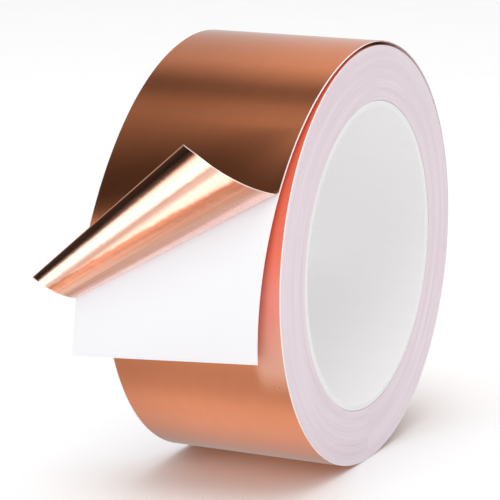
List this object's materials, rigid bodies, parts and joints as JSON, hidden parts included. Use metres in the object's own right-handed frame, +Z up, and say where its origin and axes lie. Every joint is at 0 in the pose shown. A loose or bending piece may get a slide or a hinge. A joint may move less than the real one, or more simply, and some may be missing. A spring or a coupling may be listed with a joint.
{
  "type": "copper foil tape roll",
  "caption": "Wide copper foil tape wound on a plastic core, standing on its rim, with the end hanging loose and one corner of the foil peeled back from its white liner.",
  "frame": {"origin": "centre of the core's bore, half way along it", "axes": "+X along the roll's axis, +Z up, and the loose end of the tape hangs on the -Y side"},
  "size_m": [0.0635, 0.1185, 0.1095],
  "materials": {
    "core_plastic": "satin",
    "wound_side": "matte",
    "liner_paper": "satin",
    "adhesive": "gloss",
    "copper_foil": "polished"
  },
  "bodies": {
    "roll": {"core_tube": "core_plastic", "core_start_strip": "adhesive", "wound_tape": "wound_side", "top_lap_liner": "liner_paper", "top_lap_adhesive": "adhesive", "top_lap_foil": "copper_foil"},
    "loose_lap": {"loose_lap_liner": "liner_paper", "loose_lap_adhesive": "adhesive", "loose_lap_foil": "copper_foil"},
    "tail": {"tail_liner": "liner_paper", "tail_adhesive": "adhesive", "tail_foil": "copper_foil"},
    "peeled_flap": {"peeled_foil": "copper_foil", "peeled_adhesive": "adhesive"}
  },
  "joints": [
    {"name": "unwind", "type": "hinge", "parent": "roll", "child": "loose_lap", "pos_m": [0, 0, 0], "axis": [-1, 0, 0], "continuous": true},
    {"name": "tail_lift", "type": "hinge", "parent": "loose_lap", "child": "tail", "pos_m": [0, -0.0392, 0.0392], "axis": [-1, 0, 0], "range_deg": [0, 70]},
    {"name": "foil_peel", "type": "hinge", "parent": "tail", "child": "peeled_flap", "pos_m": [-0.00369, -0.05499, 0.01073], "axis": [0.8539, 0.1722, 0.4911], "range_deg": [0, 45]}
  ]
}
